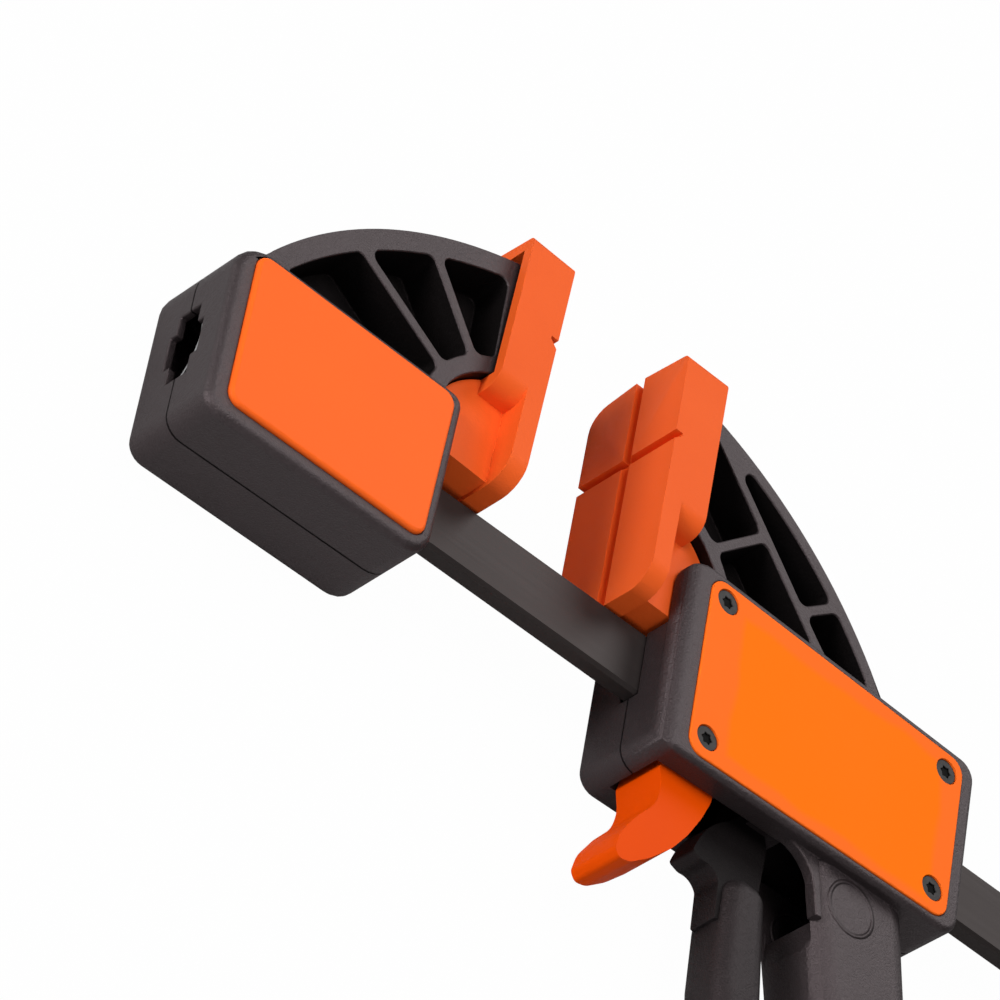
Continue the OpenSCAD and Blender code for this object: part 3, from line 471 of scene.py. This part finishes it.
def apply_all(piece):
    """The piece's modifiers become part of its mesh, in their order."""
    only(piece)
    for modifier in list(piece.modifiers):
        bpy.ops.object.modifier_apply(modifier=modifier.name)


def dress(piece, material):
    """The piece's one finish."""
    piece.data.materials.clear()
    piece.data.materials.append(material)


def paint_shade(piece, material, chosen):
    """Painted shade: a darker finish on the faces that chosen picks, by their middle on the clamp and
    direction.
    """
    piece.data.materials.append(material)
    for face in piece.data.polygons:
        if chosen(on_clamp(face.center), face.normal):
            face.material_index = 1


def edges_between_faces(mesh):
    """Each edge that two faces share, with those faces."""
    shared = {}
    for face in mesh.polygons:
        for key in face.edge_keys:
            shared.setdefault(key, []).append(face)
    return [(edge, shared[edge.key]) for edge in mesh.edges if len(shared.get(edge.key, ())) == 2]


class Corner:
    """A sharp edge of a piece: its middle on the clamp and its length in millimetres."""

    def __init__(self, mesh, edge, faces):
        start, end = (mesh.vertices[index].co for index in edge.vertices)
        self.edge = edge
        self.middle = on_clamp((start + end) / 2)
        self.length = (end - start).length / MM
        self.beside_flat_side = any(abs(face.normal.z) > STRAIGHT_ACROSS for face in faces)


def sharp_corners(mesh):
    """The edges where the surface turns by more than the sharp angle."""
    return [Corner(mesh, edge, faces) for edge, faces in edges_between_faces(mesh)
            if faces[0].normal.dot(faces[1].normal) < math.cos(SHARP_ANGLE)]


def crowded_points(corners, width):
    """Points where three or more corners meet, one of them too short for a rounding of this width."""
    lengths_at = {}
    for corner in corners:
        for index in corner.edge.vertices:
            lengths_at.setdefault(index, []).append(corner.length)
    return {index for index, lengths in lengths_at.items()
            if len(lengths) > 2 and min(lengths) < SHORTEST_EDGE_IN_WIDTHS * width}


def soften(piece, rounding):
    """Rounds those sharp edges of the piece that the rounding picks."""
    only(piece)
    bpy.context.tool_settings.mesh_select_mode = (False, True, False)
    bpy.ops.object.mode_set(mode="EDIT")
    bpy.ops.mesh.select_all(action="DESELECT")
    bpy.ops.object.mode_set(mode="OBJECT")
    corners = sharp_corners(piece.data)
    crowded = crowded_points(corners, rounding.width)
    for corner in corners:
        if rounding.edges(corner) and crowded.isdisjoint(corner.edge.vertices):
            corner.edge.select = True
    bpy.ops.object.mode_set(mode="EDIT")
    bpy.ops.mesh.bevel(
        offset=rounding.width * MM, segments=rounding.steps, clamp_overlap=rounding.apart)
    bpy.ops.object.mode_set(mode="OBJECT")


def moulded(node, material, slot, *roundings):
    """A copy of a solid in its place, its edges rounded pass by pass, with a finish."""
    piece = bpy.data.objects.new(node + "_moulded", frame["nodes"][node].data.copy())
    bpy.context.scene.collection.objects.link(piece)
    only(piece)
    bpy.ops.object.mode_set(mode="EDIT")
    bpy.ops.mesh.select_all(action="SELECT")
    bpy.ops.mesh.remove_doubles(threshold=WELD_REACH)
    bpy.ops.mesh.dissolve_limited(angle_limit=FLAT_ANGLE)
    bpy.ops.object.mode_set(mode="OBJECT")
    for rounding in roundings:
        soften(piece, rounding)
    dress(piece, material)
    bpy.ops.object.shade_smooth_by_angle(angle=SMOOTH_ANGLE)
    even = piece.modifiers.new("even_shading", "WEIGHTED_NORMAL")
    even.keep_sharp = True
    apply_all(piece)
    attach(piece, BODY_OF[node])
    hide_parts(node)
    return piece


def any_edge(corner):
    """Every sharp edge, for a rounding all over a piece."""
    return True


# The casings, their inlays and side plates
def from_arch_centre(spot, shell):
    """How far a place is from the centre of that casing's arch."""
    return math.hypot(spot.x - ARCH_CENTRE_X[shell], spot.y - ARCH_CENTRE_Y)


def on_arch_rim(shell):
    """The long outer edges of that casing's arch."""
    def chosen(corner):
        spot = corner.middle
        on_side = abs(abs(spot.z) - ARCH_HALF) < AT_ARCH_SIDE
        on_curve = abs(from_arch_centre(spot, shell) - ARCH_RADIUS) < AT_ARCH_CURVE
        return spot.y > ARCH_FOOT_Y[shell] and on_side and on_curve
    return chosen


def on_parting(corner):
    """The edges along the line where the casing's halves meet."""
    return abs(corner.middle.z) < AT_PARTING


def off_parting(corner):
    """Sharp edges but for the parting's and the short ends of the near casing's rounded front."""
    spot = corner.middle
    first_x, last_x = FRONT_ROUND_X
    in_front_round = first_x < spot.x < last_x and spot.z > FRONT_ROUND_Z
    short_end = in_front_round and corner.length < FRONT_ROUND_SHORT_EDGE
    return abs(spot.z) > CLEAR_OF_PARTING and not short_end


def painted_shade_in_casing(shell):
    """The inner faces of the arch's pockets, and the slopes of the parting line, where shade is painted.
    """
    def chosen(spot, normal):
        aslant = ASLANT_LEAST < abs(normal.z) < ASLANT_MOST
        off_side = abs(spot.z) < ARCH_HALF - POCKET_SIDE_MARGIN
        under_rim = from_arch_centre(spot, shell) < ARCH_RADIUS - POCKET_RIM_MARGIN
        in_pocket = spot.y > ARCH_FOOT_Y[shell] and off_side and under_rim
        return in_pocket or (aslant and abs(spot.z) < PARTING_SLOPE)
    return chosen


for side in ("near", "far"):
    for shell in ("fixed_shell", "moving_shell"):
        casing = moulded(
            shell + "_" + side, NYLON, "black_nylon",
            Rounding(width=2.0, steps=4, edges=on_arch_rim(shell)),
            Rounding(width=0.35, steps=2, edges=on_parting, apart=False),
            Rounding(width=0.6, steps=2, edges=off_parting, apart=False))
        # Painted shade in the arch's pockets and along the parting line's groove.
        paint_shade(casing, NYLON_PAINTED_SHADE, painted_shade_in_casing(shell))
    for node, material in (("fixed_inlay_", INLAY), ("side_plate_", PLATE)):
        moulded(node + side, material, "orange_plastic", Rounding(width=0.3, steps=2, edges=any_edge))


# The pads
def in_grooves(pad):
    """Edges of a pad's grooves: near its gripping face, off its outline."""
    lean = math.tan(math.radians(PAD_LEAN_DEGREES[pad]))

    def chosen(corner):
        spot = corner.middle
        face_x = PAD_FACE_X[pad] + lean * (spot.y - PAD_PIVOT_Y)
        off_sides = abs(spot.z) < PAD_HALF - PAD_SIDE_MARGIN
        off_ends = GROOVES_FOOT_Y < spot.y < GROOVES_TOP_Y
        return abs(spot.x - face_x) < GROOVE_REACH and off_sides and off_ends
    return chosen


def off_grooves(pad):
    """All other edges of a pad."""
    groove = in_grooves(pad)

    def chosen(corner):
        return not groove(corner)
    return chosen


for pad in ("fixed_pad", "moving_pad"):
    moulded(
        pad, SOFT, "soft_orange",
        Rounding(width=1.5, steps=4, edges=off_grooves(pad)),
        Rounding(width=0.7, steps=3, edges=in_grooves(pad)))


# The trigger, lever, bar and screws
def on_hook_front(corner):
    """The long edges down the front of the trigger's hook."""
    spot = corner.middle
    front_x = HOOK_FRONT_X - HOOK_FRONT_SLANT * (spot.y - HOOK_FRONT_Y)
    return corner.beside_flat_side and spot.y < HOOK_TOP_Y and spot.x < front_x


def painted_shade_on_neck_flank(spot, normal):
    """The flanks of the lever's neck, deep between the casing's halves, where shade is painted."""
    inside = spot.y > NECK_FOOT_Y and abs(spot.z) < NECK_HALF + NECK_SIDE_MARGIN
    return inside and abs(normal.z) > PARTLY_ACROSS


def screw_middles(screws, head):
    """Where the screws stand, from the points on their heads' faces."""
    clusters = []
    for vertex in screws.data.vertices:
        spot = on_clamp(vertex.co)
        if abs(spot.z - head) > AT_HEAD_FACE:
            continue
        near = [found for found in clusters if (found[0] - spot.xy).length < SCREW_SPACING]
        if near:
            near[0].append(spot.xy)
        else:
            clusters.append([spot.xy])
    middles = []
    for found in clusters:
        low = Vector((min(point.x for point in found), min(point.y for point in found)))
        high = Vector((max(point.x for point in found), max(point.y for point in found)))
        middles.append((low + high) / 2)
    return middles


def painted_shade_in_socket(screws):
    """The floors and walls of the screws' star sockets, where shade is painted."""
    head = max(round(abs(on_clamp(vertex.co).z), 2) for vertex in screws.data.vertices)
    middles = screw_middles(screws, head)
    least, most = SOCKET_DEPTHS

    def chosen(spot, normal):
        in_depth = least < head - abs(spot.z) < most
        return in_depth and min((spot.xy - middle).length for middle in middles) < SOCKET_RADIUS
    return chosen


moulded(
    "release_trigger", TRIGGER, "orange_plastic",
    Rounding(width=2.0, steps=4, edges=on_hook_front),
    Rounding(width=0.8, steps=3, edges=any_edge))
lever = moulded(
    "squeeze_lever", NYLON_LEVER_PAINTED_SHADE, "black_nylon", Rounding(width=1.0, steps=3, edges=any_edge))
# Painted shade on the flanks of the lever's neck.
paint_shade(lever, NYLON_PAINTED_SHADE, painted_shade_on_neck_flank)
moulded("bar", BAR_STEEL, "bar_steel", Rounding(width=0.25, steps=2, edges=any_edge))
screws = moulded(
    "plate_screws", SCREW_BLACK, "bright_steel", Rounding(width=0.2, steps=2, edges=any_edge))
# Painted shade in the screws' star sockets.
paint_shade(screws, SOCKET_PAINTED_SHADE, painted_shade_in_socket(screws))
for node in ("bar_stop_pins", "fixed_jaw_screws", "lock_leaf", "handle_screws", "brake_plate",
             "lever_pin", "drive_plates"):
    dress(frame["nodes"][node], ZINC)


# Springs: smooth wound wire in the place of the solids' coarser coils
STEPS_PER_TURN = 20
LEAD_IN_WIRES = 4
STUB_IN_WIRES = 2
STUB_GAP = 0.1
DRAWN_WIRE_SHARE = 0.98
WIRE_ROUNDNESS = 3


def coil_points(length, radius, wire, turns):
    """The wire's middle line along X, in millimetres: a short stub, the turns and a short stub."""
    lead = LEAD_IN_WIRES * wire
    stub = STUB_IN_WIRES * wire - STUB_GAP
    steps = turns * STEPS_PER_TURN
    points = [(wire, radius, -stub), (wire, radius, 0.0)]
    for step in range(1, steps):
        turn = 2 * math.pi * turns * step / steps
        x = lead + (length - 2 * lead) * step / steps
        points.append((x, radius * math.cos(turn), radius * math.sin(turn)))
    return points + [(length - wire, radius, 0.0), (length - wire, radius, stub)]


def wound_wire(node, radius, wire, turns, axis_y):
    """A spring of the moving jaw, in millimetres: its coil's and its wire's radius, its turns and axis.
    """
    low, high = (on_clamp(corner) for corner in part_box(node))
    points = coil_points(high.x - low.x, radius, wire, turns)
    curve = bpy.data.curves.new(node + "_wire", "CURVE")
    curve.dimensions = "3D"
    curve.bevel_depth = wire * MM * DRAWN_WIRE_SHARE
    curve.bevel_resolution = WIRE_ROUNDNESS
    curve.use_fill_caps = True
    spline = curve.splines.new("POLY")
    spline.points.add(len(points) - 1)
    for point, (x, y, z) in zip(spline.points, points):
        point.co = (*at(low.x + x, axis_y + y, z), 1.0)
    piece = bpy.data.objects.new(node + "_wound", curve)
    bpy.context.scene.collection.objects.link(piece)
    only(piece)
    bpy.ops.object.convert(target="MESH")
    piece = bpy.context.object
    dress(piece, ZINC)
    bpy.ops.object.shade_smooth()
    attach(piece, "moving_jaw")
    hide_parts(node)
    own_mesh(piece)


wound_wire(
    "drive_spring", radius=14.2, wire=0.7, turns=6, axis_y=0)
wound_wire(
    "brake_spring", radius=3.4, wire=0.5, turns=5, axis_y=-24)


# Floor and light
def pale_floor():
    """Near white to the camera, with a trace of the shadow, and grey cloth to the light."""
    paint = new_paint("pale_floor")
    cloth = paint.add("ShaderNodeBsdfDiffuse", {}, {"Color": FLOOR_COLOUR})
    glow = paint.add("ShaderNodeEmission", {}, {"Color": WHITE, "Strength": 1.0})
    seen = paint.add("ShaderNodeLightPath", out="Is Camera Ray")
    share = seen * FLOOR_WHITE_SHARE
    return paint.show(paint.add("ShaderNodeMixShader", {}, {0: share, 1: cloth, 2: glow}))


def add_floor():
    """A wide plane under the clamp, where Z is zero."""
    bpy.ops.object.select_all(action="DESELECT")
    bpy.ops.mesh.primitive_plane_add(size=FLOOR_WIDTH, location=(0, 0, 0))
    floor = bpy.context.object
    floor.name = "floor"
    dress(floor, pale_floor())


def add_lamp(name, place, size, watts):
    """A round soft lamp that looks at the middle of the clamp."""
    data = bpy.data.lights.new(name, "AREA")
    data.shape = "DISK"
    data.size = size
    data.energy = watts
    lamp = bpy.data.objects.new(name, data)
    bpy.context.scene.collection.objects.link(lamp)
    lamp.location = place
    lamp.rotation_euler = (-Vector(place)).to_track_quat("-Z", "Y").to_euler()


def add_world():
    """White to the camera, and a soft dim light from all round to the clamp."""
    world = bpy.data.worlds.new("studio")
    bpy.context.scene.world = world
    paint = Paint(world, output="ShaderNodeOutputWorld")
    soft = paint.add("ShaderNodeBackground", {}, {"Color": WHITE, "Strength": SOFT_LIGHT})
    white = paint.add("ShaderNodeBackground", {}, {"Color": WHITE, "Strength": 1.0})
    seen = paint.add("ShaderNodeLightPath", out="Is Camera Ray")
    paint.show(paint.add("ShaderNodeMixShader", {}, {0: seen, 1: soft, 2: white}))


add_camera()
add_floor()
add_world()
add_lamp("overhead", place=(-0.3, 0.2, 1.7), size=1.2, watts=16.5)
add_lamp("behind", place=(1.2, 1.7, 1.5), size=1.4, watts=20)
add_lamp("left", place=(-1.7, 0.05, 0.6), size=0.8, watts=21)
add_lamp("front", place=(-0.2, -1.8, 0.8), size=1.2, watts=8.5)
bpy.context.scene.view_settings.view_transform = "Standard"
